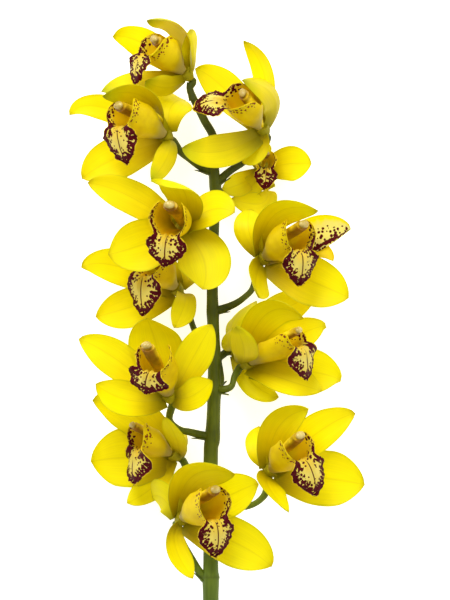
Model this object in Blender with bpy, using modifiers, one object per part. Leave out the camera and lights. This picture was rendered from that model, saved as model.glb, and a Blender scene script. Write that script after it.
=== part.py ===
"""Cut stem of a yellow cymbidium orchid, lying on its back on a table.

Metres, +Z up. The stem's length runs along +Y, the flowers' faces look towards +Z.
A bloom is placed by a few points in millimetres: its throat from the stem's own origin,
and the tips of its column, lip and five tepals from that throat.
"""
import math
from dataclasses import dataclass

import bmesh
import bpy
import numpy as np
from mathutils import Matrix

MM = 0.001

# Driving dimensions, millimetres
STEM_CUT_Y = -90.0
TEPAL_THICK = 0.9
LIP_THICK = 0.9
TEPAL_BASE_SHARE = 0.30
TEPAL_WIDEST_AT = 0.56
RECEPTACLE_AT = (-7.4, -4.6, 0.0)
RECEPTACLE_RADII = (2.5, 4.1, 4.4)
TEPAL_ROOT = (3.0, -4.2)
PEDICEL_RADIUS = 2.2
PEDICEL_REF = (0.31, 0.22, 0.92)
PEDICEL_SEAT = 0.35
COLUMN_RADIUS = 3.6
COLUMN_START = 0.6
COLUMN_PROFILE = (0.62, 0.85, 1.1, 1.35, 1.3)
COLUMN_SQUASH = 0.7
COLUMN_LIFT = 0.6
COLUMN_ARCH = 1.5
CAP_RADIUS = 3.9
CAP_SEAT = 0.3
CAP_SHAPE = (0.9, 0.60, 0.5)
LIP_START = 0.65
LIP_DROP = 3.1
SIDE_LOBE_HALF = 26.5
MID_LOBE_HALF = 13.5
NOTCH_HALF = 7.6
TUBE_RADIUS = 10.8
LIP_CLAW_HALF = 3.0
CLAW_RADIUS = 5.0
TONGUE_ARCH = 0.03

# Shares of the lip's length
LIP_GROWN = 0.22
LOBES_FROM = 0.36
LOBES_FALL = 0.13
TONGUE_FROM = 0.475
TONGUE_RISE = 0.11
POINT_FROM = 0.64

# Grid steps: along and across
TEPAL_STEPS = (5, 3)
LIP_STEPS = (12, 6)
TUBE_SIDES = 7


@dataclass
class Tepal:
    """Blade from the receptacle through mid to tip; side is its half width at mid, cup its hollow."""
    name: str
    mid: tuple
    tip: tuple
    side: tuple
    cup: float = 0.2


@dataclass
class Bloom:
    name: str
    throat: tuple
    cap: tuple
    fold: tuple
    lip_tip: tuple
    tepals: tuple
    pedicel: tuple = ()
    size: float = 1.0
    lip_wide: float = 1.0
    lobe: float = 1.0


BLOOMS = (
    Bloom("01", throat=(-26, 332, 4), cap=(-17, 18, 16), fold=(-25, 8, 16), lip_tip=(-30, -10, 18),
          pedicel=((-20, 314, 0), (-22, 321, 0)),
          lip_wide=0.75, tepals=(
              Tepal("dorsal", mid=(-4, 23, 4), tip=(-23, 29, 16), side=(3, 2, 13), cup=0.25),
              Tepal("petal_l", mid=(-26, 18, -10), tip=(-45, 22, -2), side=(-2, -9, 0), cup=0.15),
              Tepal("petal_r", mid=(5, 10, -2), tip=(4, 26, 6), side=(4, -1, -8)),
              Tepal("sepal_l", mid=(-28, -7, 0), tip=(-52, -13, 4), side=(1, -6, 6)),
              Tepal("sepal_r", mid=(-11, -10, 6), tip=(-24, -7, 14), side=(1, 6, 5)),)),
    Bloom("02", throat=(-39, 292, 10), cap=(-26, 16, 28), fold=(-27, 2, 28), lip_tip=(-22, -20, 26),
          pedicel=((-8, 268, 0), (-16, 272, 1), (-22, 276, 2), (-28, 281, 2)),
          tepals=(
              Tepal("dorsal", mid=(-12, 22, 16), tip=(-37, 22, 32), side=(3, -5, -8), cup=0.3),
              Tepal("petal_l", mid=(-39, 17, 0), tip=(-59, 12, 0), side=(0, -8, 0), cup=0.15),
              Tepal("petal_r", mid=(5, 18, -8), tip=(14, 22, -20), side=(10, -6, 5), cup=0.15),
              Tepal("sepal_l", mid=(-30, -17, 4), tip=(-50, -29, 4), side=(5, -11, 0)),
              Tepal("sepal_r", mid=(3, -13, 11), tip=(-7, -30, 24), side=(5, 1, -5)),)),
    Bloom("03", throat=(23, 297, 4), cap=(-11, 19, 18), fold=(-25, 14, 18), lip_tip=(-43, 10, 16),
          pedicel=((-7, 260, 0), (3, 269, 0), (11, 274, -2), (18, 280, -5), (25, 286, -8)),
          lip_wide=0.95, tepals=(
              Tepal("dorsal", mid=(7, 17, 4), tip=(-12, 28, 20), side=(5, 2, -10), cup=0.3),
              Tepal("petal_l", mid=(-25, 26, -12), tip=(-42, 37, -8), side=(-7, -8, 0), cup=0.15),
              Tepal("petal_u", mid=(0, 32, -12), tip=(-11, 54, -10), side=(5, 2, 5), cup=0.15),
              Tepal("sepal_l", mid=(-26, -16, 10), tip=(-50, -14, 14), side=(0, -10, 2)),
              Tepal("sepal_r", mid=(-1, -13, -1), tip=(-12, -23, -2), side=(6, -2, 2), cup=0.15),)),
    Bloom("04", throat=(24, 272, -18), cap=(2, 8, 14), fold=(2, -2, 15), lip_tip=(1, -15, 13),
          pedicel=((-6, 259, 0), (0, 252, -12), (6, 250, -22), (14, 252, -27), (21, 261, -29)),
          size=0.55, lobe=0.62, tepals=(
              Tepal("dorsal", mid=(-3, 11, -8), tip=(-1, 20, -11), side=(8, -2, 0)),
              Tepal("petal_r", mid=(15, 1, 0), tip=(31, 2, 4), side=(1, -10, 0), cup=0.15),
              Tepal("petal_l", mid=(-15, -11, 4), tip=(-26, -14, 8), side=(2, -7, 0), cup=0.15),
              Tepal("sepal_l", mid=(1, -22, -1), tip=(-20, -20, 4), side=(1, -7, 0)),
              Tepal("sepal_r", mid=(-6, -11, 1), tip=(-11, -17, 0), side=(5, -4, 0), cup=0.1),)),
    Bloom("05", throat=(-27, 234, 18), cap=(-7, 12, 28), fold=(-9, -8, 28), lip_tip=(-10, -26, 24),
          pedicel=((-8, 210, 0), (-14, 218, 3), (-20, 224, 4)),
          tepals=(
              Tepal("dorsal", mid=(0, 20, 16), tip=(-19, 25, 30), side=(11, -3, 4), cup=0.3),
              Tepal("petal_l", mid=(-34, 19, 4), tip=(-59, 27, 4), side=(-2, -10, 0), cup=0.15),
              Tepal("petal_r", mid=(18, 10, 10), tip=(33, 8, 18), side=(-1, -11, 4), cup=0.15),
              Tepal("sepal_l", mid=(-27, -14, 4), tip=(-45, -19, 8), side=(4, -14, 0)),
              Tepal("sepal_r", mid=(14, -22, 6), tip=(13, -40, 10), side=(16, 2, 0)),)),
    Bloom("06", throat=(26, 215, 4), cap=(22, 19, 30), fold=(21, 2, 30), lip_tip=(20, -19, 28),
          pedicel=((-8, 180, 0), (4, 184, 0), (12, 189, 0), (18, 196, -4)),
          tepals=(
              Tepal("dorsal", mid=(6, 26, 18), tip=(32, 28, 38), side=(-3, 6, 8), cup=0.3),
              Tepal("petal_l", mid=(-11, 16, 0), tip=(-10, 30, -10), side=(8, -2, 3), cup=0.15),
              Tepal("petal_r", mid=(33, 16, 10), tip=(52, 19, 16), side=(0, -9, 0), cup=0.15),
              Tepal("sepal_r", mid=(32, -18, 4), tip=(52, -26, 6), side=(5, 13, 0)),
              Tepal("sepal_l", mid=(-6, -14, 10), tip=(-5, -26, 22), side=(-6, 6, 8)),)),
    Bloom("07", throat=(-32, 196, -12), cap=(-15, 18, 18), fold=(-19, 6, 20), lip_tip=(-19, -19, 18),
          pedicel=((-9, 155, 0), (-16, 162, -3), (-20, 170, -8), (-23, 179, -14)),
          lip_wide=1.12, lobe=0.78, tepals=(
              Tepal("dorsal", mid=(-9, 15, 4), tip=(-22, 22, 14), side=(6, 6, 0), cup=0.25),
              Tepal("petal_l", mid=(-37, 15, 4), tip=(-59, 13, 6), side=(0, -9, 0), cup=0.15),
              Tepal("petal_r", mid=(10, 9, -8), tip=(16, 19, -21), side=(6, -4, 0), cup=0.15),
              Tepal("sepal_l", mid=(-29, -14, 3), tip=(-47, -20, 7), side=(2, -11, 0)),
              Tepal("sepal_r", mid=(7, -9, 8), tip=(0, -26, 16), side=(7, -2, -3)),)),
    Bloom("08", throat=(16, 149, 0), cap=(29, 19, 26), fold=(32, 8, 25), lip_tip=(35, -12, 24),
          pedicel=((-7, 131, 0), (-1, 131, 3), (4, 133, 3), (6, 139, 0)),
          size=0.8, lip_wide=1.35, lobe=0.85, tepals=(
              Tepal("dorsal", mid=(11, 30, 16), tip=(33, 27, 30), side=(-4, 8, 6), cup=0.3),
              Tepal("petal_l", mid=(-4, 9, 22), tip=(-9, 22, 36), side=(7, 1, 5), cup=0.1),
              Tepal("petal_r", mid=(34, 18, 2), tip=(48, 21, 2), side=(2, -10, 0), cup=0.15),
              Tepal("sepal_l", mid=(19, -14, 6), tip=(42, -16, 10), side=(-1, -9, 6), cup=0.25),
              Tepal("sepal_r", mid=(40, -6, 0), tip=(56, -12, 2), side=(5, 14, 0)),)),
    Bloom("13", throat=(10, 156, -16), cap=(15, 3, -4), fold=(14, -3, -4), lip_tip=(10, -13, -3),
          pedicel=((-7, 131, 0), (-3, 136, -3), (-3, 143, -7), (-4, 150, -10)),
          size=0.5, tepals=(
              Tepal("dorsal", mid=(-4, 17, 10), tip=(10, 31, 6), side=(5, 1, 9)),
              Tepal("petal_l", mid=(-7, 3, 15), tip=(-5, 14, 24), side=(2, 2, 5)),
              Tepal("petal_r", mid=(20, 22, 2), tip=(48, 36, 2), side=(3, -8, 0), cup=0.15),
              Tepal("sepal_l", mid=(8, -22, 8), tip=(24, -30, 10), side=(-5, -5, 2)),
              Tepal("sepal_r", mid=(9, 6, -11), tip=(22, 12, -17), side=(2, 6, 2), cup=0.1),)),
    Bloom("09", throat=(-36, 129, 18), cap=(-12, 29, 28), fold=(-11, 13, 28), lip_tip=(-13, 0, 24),
          pedicel=((-10, 101, 0), (-22, 104, 2), (-29, 106, 3), (-35, 112, 3)),
          lip_wide=1.1, tepals=(
              Tepal("dorsal", mid=(-8, 32, 0), tip=(-13, 47, 14), side=(16, -2, 0), cup=0.25),
              Tepal("petal_l", mid=(-35, 23, 0), tip=(-56, 34, 0), side=(-2, -11, 0), cup=0.15),
              Tepal("petal_r", mid=(18, 26, 6), tip=(28, 43, 8), side=(9, -6, 0), cup=0.15),
              Tepal("sepal_l", mid=(-25, -4, 4), tip=(-45, 6, 10), side=(-2, -10, 4)),
              Tepal("sepal_r", mid=(14, -2, 6), tip=(28, 8, 12), side=(4, -8, 3)),)),
    Bloom("10", throat=(-34, 91, -6), cap=(-23, 17, 14), fold=(-21, 1, 16), lip_tip=(-23, -20, 16),
          pedicel=((-9, 62, 0), (-17, 72, 0), (-23, 79, -5)),
          size=0.8, lip_wide=1.4, tepals=(
              Tepal("dorsal", mid=(-25, 26, -4), tip=(-50, 34, 0), side=(-3, -10, 0)),
              Tepal("petal_l", mid=(-32, -3, -6), tip=(-51, -5, 0), side=(0, -17, 0), cup=0.15),
              Tepal("petal_r", mid=(3, 10, 18), tip=(-4, 23, 30), side=(6, -1, 4), cup=0.1),
              Tepal("sepal_r", mid=(7, 4, -12), tip=(4, 14, -27), side=(2, 0, 7), cup=0.15),
              Tepal("sepal_l", mid=(-11, -19, -3), tip=(-26, -27, 2), side=(4, -7, 5)),)),
    Bloom("11", throat=(30, 81, 6), cap=(16, 21, 28), fold=(20, 6, 28), lip_tip=(27, -16, 26),
          pedicel=((-9, 61, 0), (-1, 58, 2), (7, 57, 2), (14, 57, 1), (21, 60, -2), (26, 66, -6)),
          lip_wide=1.05, lobe=0.88, tepals=(
              Tepal("dorsal", mid=(4, 27, 14), tip=(22, 38, 28), side=(-4, 8, 5), cup=0.25),
              Tepal("petal_l", mid=(-9, 12, -6), tip=(-9, 26, -18), side=(6, -2, 4), cup=0.15),
              Tepal("petal_r", mid=(31, 25, 6), tip=(52, 35, 8), side=(3, -11, 0), cup=0.15),
              Tepal("sepal_r", mid=(34, -6, 0), tip=(58, -10, 2), side=(2, -17, 0)),
              Tepal("sepal_l", mid=(-2, -11, 14), tip=(10, -26, 24), side=(-8, 5, 3)),)),
    Bloom("12", throat=(-26, 51, 16), cap=(19, 18, 30), fold=(20, -2, 30), lip_tip=(20, -24, 26),
          pedicel=((-11, 9, 0), (-17, 17, 0), (-22, 26, 0), (-28, 37, 0)),
          tepals=(
              Tepal("dorsal", mid=(6, 26, 14), tip=(32, 28, 34), side=(-4, 8, 8), cup=0.3),
              Tepal("petal_l", mid=(-13, 12, -5), tip=(-20, 12, -17), side=(-2, 10, 2), cup=0.12),
              Tepal("petal_r", mid=(33, 18, 4), tip=(47, 22, 8), side=(1, -11, 0), cup=0.15),
              Tepal("sepal_r", mid=(35, -17, 4), tip=(55, -31, 2), side=(8, 12, 0)),
              Tepal("sepal_l", mid=(-2, -19, 2), tip=(8, -38, 6), side=(6, 2, -4)),)),
)

# Scape from the cut end to the topmost flower: x, y, z, radius
SCAPE = (
    (-9, STEM_CUT_Y, 0, 5.2), (-9, 0, 0, 5.0), (-9, 25, 0, 4.8), (-9, 88, 0, 4.6),
    (-8, 100, 0, 4.6), (-7, 125, 0, 4.2), (-7, 156, 0, 3.9), (-8, 194, 0, 3.6),
    (-7, 230, 0, 3.3), (-6, 255, 0, 3.2), (-7, 270, 0, 3.1), (-7, 289, 0, 2.7),
    (-13, 301, 0, 2.6), (-19, 313, 0, 2.4), (-22, 320, 0, 2.3), (-22, 325, 0, 2.2),
)


def vec(p):
    return np.array(p, dtype=float)


def unit(v):
    return v / np.linalg.norm(v)


def smooth(x):
    x = min(max(x, 0.0), 1.0)
    return x * x * (3 - 2 * x)


def bloom_frame(bloom):
    """Forward along the column, up away from the lip, right across the flower."""
    forward = unit(vec(bloom.cap))
    down = vec(bloom.lip_tip)
    up = -unit(down - forward * (down @ forward))
    return np.cross(forward, up), up, forward


def curve_through(points, count):
    """Catmull-Rom curve through the points, evenly spaced along its length."""
    pts = np.array(points, dtype=float)
    ext = np.vstack([2 * pts[0] - pts[1], pts, 2 * pts[-1] - pts[-2]])
    fine = []
    for k in range(len(pts) - 1):
        a, b, c, d = ext[k:k + 4]
        for s in np.linspace(0, 1, 12, endpoint=False):
            fine.append(0.5 * (2 * b + (c - a) * s + (2 * a - 5 * b + 4 * c - d) * s ** 2
                               + (3 * b - a - 3 * c + d) * s ** 3))
    fine.append(pts[-1])
    fine = np.array(fine)
    run = np.r_[0, np.cumsum(np.linalg.norm(np.diff(fine[:, :3], axis=0), axis=1))]
    want = np.linspace(0, run[-1], count)
    return np.stack([np.interp(want, run, fine[:, k]) for k in range(fine.shape[1])], axis=1)


def tangents(path):
    t = np.gradient(path[:, :3], axis=0)
    return t / np.linalg.norm(t, axis=1)[:, None]


def blade_share(t):
    """Half width along a tepal as a share of its widest."""
    if t < TEPAL_WIDEST_AT:
        return TEPAL_BASE_SHARE + (1 - TEPAL_BASE_SHARE) * math.sin(math.pi / 2 * t / TEPAL_WIDEST_AT) ** 1.2
    return max(0.0, 1 - ((t - TEPAL_WIDEST_AT) / (1 - TEPAL_WIDEST_AT)) ** 2.1) ** 0.74


def tepal_surface(bloom, tepal, steps):
    """Middle surface of a tepal as rows from base to tip."""
    throat = vec(bloom.throat)
    _, _, forward = bloom_frame(bloom)
    mid, tip, side = vec(tepal.mid), vec(tepal.tip), vec(tepal.side)
    outward = mid - forward * (mid @ forward)
    base = unit(outward) * TEPAL_ROOT[0] + forward * TEPAL_ROOT[1]
    control = 2 * mid - (base + tip) / 2
    s = np.linspace(0, 1, 80)[:, None]
    fine = (1 - s) ** 2 * base + 2 * s * (1 - s) * control + s ** 2 * tip
    run = np.r_[0, np.cumsum(np.linalg.norm(np.diff(fine, axis=0), axis=1))]
    want = np.linspace(0, run[-1], steps[0] + 1)
    spine = np.stack([np.interp(want, run, fine[:, k]) for k in range(3)], axis=1)
    along = tangents(spine)
    inside = forward * 18 - mid
    flip = 1 if np.cross(along[len(along) // 2], side) @ inside > 0 else -1
    rows = []
    for k, (point, run_dir) in enumerate(zip(spine, along)):
        across = unit(side - run_dir * (side @ run_dir))
        face = np.cross(run_dir, across) * flip
        half = np.linalg.norm(side) * blade_share(k / steps[0])
        rows.append([throat + point + across * u * half + face * tepal.cup * half * (u * u - 0.3)
                     for u in np.linspace(-1, 1, steps[1] + 1)])
    return np.array(rows)


def lip_spine(bloom, count):
    """Middle line of the lip: half the rows from claw to fold, half from fold to tip."""
    _, up, forward = bloom_frame(bloom)
    fold, tip = vec(bloom.fold), vec(bloom.lip_tip)
    claw = forward * LIP_START - up * LIP_DROP
    sac = claw * 0.45 + fold * 0.55 - up * 2.4 * bloom.size
    hang = tip - fold
    bulge = forward - unit(hang) * (forward @ unit(hang))
    fine = curve_through([claw, sac, fold, fold + hang * 0.45 + bulge * 3.5 * bloom.size, tip], 240)
    run = np.r_[0, np.cumsum(np.linalg.norm(np.diff(fine, axis=0), axis=1))]
    fold_run = run[np.argmin(np.linalg.norm(fine - fold, axis=1))]
    want = np.r_[np.linspace(0, fold_run, count // 2 + 1), np.linspace(fold_run, run[-1], count // 2 + 1)[1:]]
    return np.stack([np.interp(want, run, fine[:, k]) for k in range(3)], axis=1)


def lip_half(t, lobe, wide):
    """Half width of the flat lip at a share of its length: side lobes, a notch, then the mid lobe."""
    grown = smooth(t / LIP_GROWN)
    tube = LIP_CLAW_HALF + (SIDE_LOBE_HALF * lobe - LIP_CLAW_HALF) * grown
    tube *= max(0.0, 1 - (max(t - LOBES_FROM, 0) / LOBES_FALL) ** 2.2) ** (1 / 2.2)
    point = max(0.0, 1 - (max(t - POINT_FROM, 0) / (1 - POINT_FROM)) ** 2) ** 0.8
    spread = smooth((t - TONGUE_FROM) / TONGUE_RISE)
    middle = (NOTCH_HALF * grown + (MID_LOBE_HALF - NOTCH_HALF) * spread) * point
    middle *= 1 + (wide - 1) * smooth((t - 0.4) / 0.15)
    return (tube ** 4 + middle ** 4) ** 0.25


def lip_roll(t):
    """Curvature of the lip across its length, one over millimetres: a tube, then a slightly arched tongue."""
    radius = CLAW_RADIUS + (TUBE_RADIUS - CLAW_RADIUS) * smooth(t / LIP_GROWN)
    return (1 - smooth((t - 0.44) / 0.12)) / radius - TONGUE_ARCH * smooth((t - 0.50) / 0.2)


def lip_surface(bloom, steps):
    """Lip from its claw, past the two standing side lobes, over the fold to the hanging mid lobe."""
    throat = vec(bloom.throat)
    right, _, forward = bloom_frame(bloom)
    spine = lip_spine(bloom, steps[0])
    along = tangents(spine)
    lean = 0.95 * np.linalg.norm(bloom.cap) - 0.84 * (vec(bloom.fold) @ forward)
    rows = []
    for k, (point, run_dir) in enumerate(zip(spine, along)):
        t = k / steps[0]
        across = unit(right - run_dir * (right @ run_dir))
        face = np.cross(across, run_dir)
        half = lip_half(t, bloom.lobe, bloom.lip_wide) * bloom.size
        roll = lip_roll(t) / bloom.size
        row = []
        for u in np.linspace(-1, 1, steps[1] + 1):
            w = half * u
            angle = roll * w
            reach = w * (math.sin(angle) / angle if abs(angle) > 1e-6 else 1.0)
            lift = w * ((1 - math.cos(angle)) / angle if abs(angle) > 1e-6 else 0.0)
            ahead = lean * lift / (1.8 * TUBE_RADIUS * bloom.size) * smooth((t - 0.12) / 0.25)
            row.append(throat + point + forward * ahead + across * reach + face * lift)
        rows.append(row)
    return np.array(rows)


def tube_rings(path, radii, sides, squash=1.0, ref=None):
    """Rings of points round a path."""
    along = tangents(path)
    ref = vec((0, 0, 1)) if ref is None else ref
    rings = []
    for point, run_dir, radius in zip(path, along, radii):
        a = unit(np.cross(run_dir, ref))
        b = np.cross(a, run_dir)
        rings.append([point[:3] + a * radius * math.cos(q) + b * radius * squash * math.sin(q)
                      for q in np.linspace(0, 2 * math.pi, sides, endpoint=False)])
    return np.array(rings)


def new_object(name, mesh, collection, material=None):
    obj = bpy.data.objects.new(name, mesh)
    collection.objects.link(obj)
    if material:
        mesh.materials.append(material)
    return obj


def sheet_object(name, rows, thick, collection, material):
    """A grid shaped to the rows, closed to a point at the tip, thickened with Solidify."""
    along, across = rows.shape[0] - 1, rows.shape[1] - 1
    bm = bmesh.new()
    bmesh.ops.create_grid(bm, x_segments=along, y_segments=across, size=1)
    for vert in bm.verts:
        i = round((vert.co.x + 1) / 2 * along)
        j = round((vert.co.y + 1) / 2 * across)
        vert.co = rows[i, j] * MM
    bmesh.ops.remove_doubles(bm, verts=bm.verts, dist=0.00002)
    bmesh.ops.triangulate(bm, faces=bm.faces, quad_method='SHORT_EDGE')
    bmesh.ops.recalc_face_normals(bm, faces=bm.faces)
    mesh = bpy.data.meshes.new(name)
    bm.to_mesh(mesh)
    bm.free()
    obj = new_object(name, mesh, collection, material)
    solid = obj.modifiers.new("thickness", 'SOLIDIFY')
    solid.thickness = thick * MM
    solid.offset = 0
    return obj


def tube_object(name, rings, collection, material):
    """A closed tube, its ends fanned to their own centres."""
    sides = rings.shape[1]
    bm = bmesh.new()
    loops = [[bm.verts.new(p * MM) for p in ring] for ring in rings]
    for a, b in zip(loops, loops[1:]):
        for k in range(sides):
            bm.faces.new((a[k], a[(k + 1) % sides], b[(k + 1) % sides], b[k]))
    bm.faces.new(loops[0])
    bm.faces.new(loops[-1])
    bmesh.ops.triangulate(bm, faces=bm.faces)
    bmesh.ops.recalc_face_normals(bm, faces=bm.faces)
    mesh = bpy.data.meshes.new(name)
    bm.to_mesh(mesh)
    bm.free()
    return new_object(name, mesh, collection, material)


def ball_object(name, centre, axes, radii, collection, material, rings=(8, 5)):
    """Ellipsoid whose axes are three unit vectors."""
    bm = bmesh.new()
    bmesh.ops.create_uvsphere(bm, u_segments=rings[0], v_segments=rings[1], radius=1)
    for vert in bm.verts:
        vert.co = (centre + sum(vert.co[k] * radii[k] * axes[k] for k in range(3))) * MM
    bmesh.ops.triangulate(bm, faces=bm.faces)
    bmesh.ops.recalc_face_normals(bm, faces=bm.faces)
    mesh = bpy.data.meshes.new(name)
    bm.to_mesh(mesh)
    bm.free()
    return new_object(name, mesh, collection, material)


def fuse(name, pieces, collection, solver='EXACT'):
    """One Boolean union of the pieces, applied; the pieces are removed."""
    helpers = bpy.data.collections.new(name + "_parts")
    bpy.context.scene.collection.children.link(helpers)
    first, others = pieces[0], pieces[1:]
    for piece in others:
        collection.objects.unlink(piece)
        helpers.objects.link(piece)
    union = first.modifiers.new("union", 'BOOLEAN')
    union.operation = 'UNION'
    union.operand_type = 'COLLECTION'
    union.collection = helpers
    union.solver = solver
    bpy.context.view_layer.update()
    graph = bpy.context.evaluated_depsgraph_get()
    mesh = bpy.data.meshes.new_from_object(first.evaluated_get(graph))
    first.modifiers.clear()
    first.data = mesh
    first.name = name
    mesh.name = name
    for piece in others:
        bpy.data.objects.remove(piece)
    bpy.data.collections.remove(helpers)
    return first


def material(name, colour, roughness):
    mat = bpy.data.materials.new(name)
    mat.use_nodes = True
    shader = next(n for n in mat.node_tree.nodes if n.type == 'BSDF_PRINCIPLED')
    shader.inputs["Base Color"].default_value = (*colour, 1)
    shader.inputs["Roughness"].default_value = roughness
    mat.diffuse_color = (*colour, 1)
    return mat


def build_tepals(bloom, collection, mat):
    _, up, forward = bloom_frame(bloom)
    spots = vec(bloom.throat) + forward * vec(RECEPTACLE_AT)[:, None]
    rings = tube_rings(spots, RECEPTACLE_RADII, TUBE_SIDES + 1, ref=up)
    pieces = [tube_object("receptacle", rings, collection, mat)]
    for tepal in bloom.tepals:
        rows = tepal_surface(bloom, tepal, TEPAL_STEPS)
        pieces.append(sheet_object(tepal.name, rows, TEPAL_THICK, collection, mat))
    return fuse(f"bloom_{bloom.name}_tepals", pieces, collection)


def build_lip(bloom, collection, mat):
    rows = lip_surface(bloom, LIP_STEPS)
    return sheet_object(f"bloom_{bloom.name}_lip", rows, LIP_THICK, collection, mat)


def column_path(bloom):
    _, up, forward = bloom_frame(bloom)
    end = vec(bloom.cap)
    start = forward * COLUMN_START + up * COLUMN_LIFT
    middle = (start + end) / 2 + up * COLUMN_ARCH
    return curve_through([start, middle, end], 5) + vec(bloom.throat)


def build_column(bloom, collection, mat):
    _, up, _ = bloom_frame(bloom)
    radii = COLUMN_RADIUS * bloom.size * vec(COLUMN_PROFILE)
    rings = tube_rings(column_path(bloom), radii, TUBE_SIDES, squash=COLUMN_SQUASH, ref=up)
    return tube_object(f"bloom_{bloom.name}_column", rings, collection, mat)


def build_cap(bloom, collection, mat):
    right, _, _ = bloom_frame(bloom)
    path = column_path(bloom)
    end_dir = unit(path[-1] - path[-2])
    lift = CAP_RADIUS * CAP_SHAPE[2] * bloom.size
    centre = path[-1] + end_dir * (lift + CAP_SEAT)
    axes = (right, np.cross(end_dir, right), end_dir)
    radii = vec(CAP_SHAPE) * CAP_RADIUS * bloom.size
    return ball_object(f"bloom_{bloom.name}_anther_cap", centre, axes, radii, collection, mat, rings=(7, 4))


def build_stem(collection, mat):
    scape = curve_through(SCAPE, 24)
    pieces = [tube_object("scape", tube_rings(scape, scape[:, 3], 9), collection, mat)]
    for bloom in BLOOMS:
        forward = unit(vec(bloom.cap))
        end = vec(bloom.throat) + forward * (RECEPTACLE_AT[0] - PEDICEL_SEAT)
        path = curve_through(list(bloom.pedicel) + [tuple(end - forward * 2.5)], 4 + len(bloom.pedicel))
        path = np.vstack([path, end])
        radii = np.full(len(path), PEDICEL_RADIUS)
        rings = tube_rings(path, radii, 6, ref=vec(PEDICEL_REF))
        pieces.append(tube_object("pedicel", rings, collection, mat))
    return fuse("stem", pieces, collection)


def lay_on_floor(objects):
    """Move everything so that the box is centred over the origin and its lowest point is at zero."""
    bpy.context.view_layer.update()
    graph = bpy.context.evaluated_depsgraph_get()
    points = np.vstack([[tuple(v.co) for v in obj.evaluated_get(graph).data.vertices] for obj in objects])
    low, high = points.min(axis=0), points.max(axis=0)
    shift = Matrix.Translation((-(low[0] + high[0]) / 2, -(low[1] + high[1]) / 2, -low[2]))
    for obj in objects:
        obj.data.transform(shift)


def main():
    for obj in list(bpy.data.objects):
        bpy.data.objects.remove(obj)
    scene = bpy.context.scene
    collection = bpy.data.collections.new("orchid_stem")
    scene.collection.children.link(collection)
    yellow = material("tepal_yellow", (0.85, 0.74, 0.02), 0.5)
    cream = material("lip_cream", (0.86, 0.78, 0.45), 0.5)
    olive = material("column_olive", (0.62, 0.50, 0.05), 0.45)
    ivory = material("anther_ivory", (0.90, 0.86, 0.62), 0.4)
    green = material("stem_green", (0.12, 0.18, 0.02), 0.5)
    made = [build_stem(collection, green)]
    for bloom in BLOOMS:
        made.append(build_tepals(bloom, collection, yellow))
        made.append(build_lip(bloom, collection, cream))
        made.append(build_column(bloom, collection, olive))
        made.append(build_cap(bloom, collection, ivory))
    lay_on_floor(made)


main()
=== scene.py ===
"""Looks of the cut cymbidium stem: thirteen yellow orchid flowers on a green stem, lying face up."""
import math
from dataclasses import dataclass

import bpy
import numpy as np
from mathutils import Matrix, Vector, noise


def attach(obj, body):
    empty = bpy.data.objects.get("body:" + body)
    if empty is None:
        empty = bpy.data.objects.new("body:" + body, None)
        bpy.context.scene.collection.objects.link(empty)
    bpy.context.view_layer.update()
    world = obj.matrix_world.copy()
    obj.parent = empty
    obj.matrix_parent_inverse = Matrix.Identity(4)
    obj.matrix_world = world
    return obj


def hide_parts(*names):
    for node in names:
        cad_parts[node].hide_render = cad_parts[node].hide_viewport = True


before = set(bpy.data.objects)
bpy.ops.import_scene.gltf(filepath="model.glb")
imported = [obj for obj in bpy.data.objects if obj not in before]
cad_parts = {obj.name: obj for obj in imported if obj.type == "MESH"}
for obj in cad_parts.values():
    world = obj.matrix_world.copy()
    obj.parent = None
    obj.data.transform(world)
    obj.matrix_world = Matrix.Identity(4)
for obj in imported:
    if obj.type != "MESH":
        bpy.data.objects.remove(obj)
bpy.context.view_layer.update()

MM = 0.001
BODY = "root"
WELD_METRES = 0.00001
SMOOTH_DEGREES = 50

# The stem's own origin, millimetres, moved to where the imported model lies, and half the whole's length there
LAID = np.array((4.965, -135.994, 33.776))
HALF_LONG = 226.0

# The photograph: its height in pixels, the real size of one, and the point under its centre
PHOTO_HIGH = 600
MM_PER_PIXEL = 0.625
PHOTO_CENTRE = np.array((0.0, 187.5, 30.0))
CAMERA_HIGH_MM = 2600.0

# Petals and sepals, millimetres and shares. Their hollows face a point that far in front of the throat
TEPAL_THICK = 0.75
BLADE_THINS = 0.55
TEPAL_ROOT = (3.0, -4.2)
TEPAL_EASE = 1.05
TEPAL_WIDEST = 0.56
TEPAL_BASE_SHARE = 0.50
TEPAL_RIPPLE = 1.15
TEPAL_MIDRIB = 0.35
TEPAL_EDGE_WANDER = 0.045
TEPAL_CELLS = (36, 20)
HOLLOW_FACES = 18
TEPAL_SAMPLES = 120
RECEPTACLE_AT = (-7.4, -4.6, 0.0)
RECEPTACLE_RADII = (2.5, 3.4, 4.1, 4.3, 4.4)

# Lip: half widths and radii in millimetres, then where along it each form starts and how long it takes
LIP_THICK = 0.75
LIP_CELLS = (64, 44)
LIP_SAMPLES = 240
RIM_SAMPLES = 600
LIP_START = 0.65
LIP_DROP = 3.1
SAC_AT = 0.55
SAC_SAG = 2.4
KNEE_AT = 0.45
TONGUE_BULGE = 3.5
LIP_CLAW_HALF = 7.0
SIDE_LOBE_HALF = 26.5
NOTCH_HALF = 7.6
MID_LOBE_HALF = 13.5
CLAW_RADIUS = 5.0
TUBE_RADIUS = 10.8
TONGUE_ARCH = 0.03
LIP_GROWN = 0.17
LOBES_FROM = 0.36
LOBES_FALL = 0.13
TONGUE_FROM = 0.475
TONGUE_RISE = 0.11
POINT_FROM = 0.59
POINT_LONG = 0.41
LEAN_TO_CAP = 0.95
LEAN_FROM_FOLD = 0.84

# Frill and ridges of the lip, millimetres
FRILL_WAVE = 2.2
FRILL_CRIMP = 1.1
FRILL_OUT = 1.4
FRILL_ALONG = 0.7
RIDGE_OFF = 2.0
RIDGE_HALF = 0.85
RIDGE_TALL = 1.7

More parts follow.
